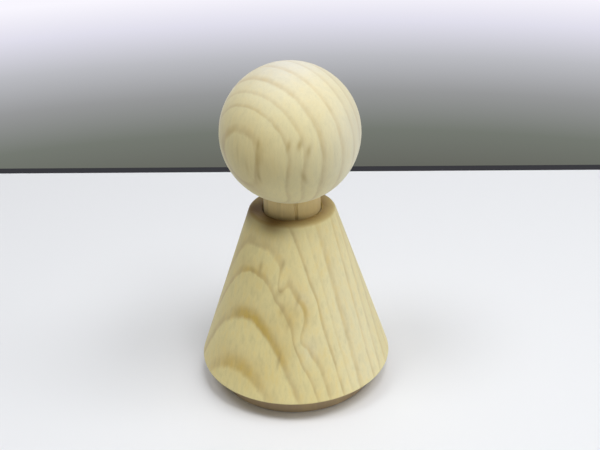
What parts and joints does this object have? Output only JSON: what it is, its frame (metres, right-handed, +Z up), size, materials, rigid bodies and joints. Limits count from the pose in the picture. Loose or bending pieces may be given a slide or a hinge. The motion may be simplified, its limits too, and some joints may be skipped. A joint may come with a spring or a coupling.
{
  "type": "peg doll",
  "caption": "Plain turned wooden peg doll: a ball head on a short dowel neck over a cone body, standing on a recessed round foot.",
  "frame": {"origin": "middle of the underside of the foot, on the surface that the doll stands on", "axes": "+Z up along the doll's turning axis, -Y towards the front of the doll, +X to the viewer's right"},
  "size_m": [0.0348, 0.0348, 0.06],
  "materials": {
    "head_wood": "bare, fine sanded, pale straw",
    "dowel_wood": "bare, smooth dowel rod",
    "body_wood": "bare, fine sanded, pale straw with tan growth rings",
    "foot_wood": "bare, fine sanded, a shade browner"
  },
  "bodies": {
    "root": {"head_ball": "head_wood", "neck_dowel": "dowel_wood", "cone_body": "body_wood", "foot_disc": "foot_wood"}
  },
  "joints": []
}
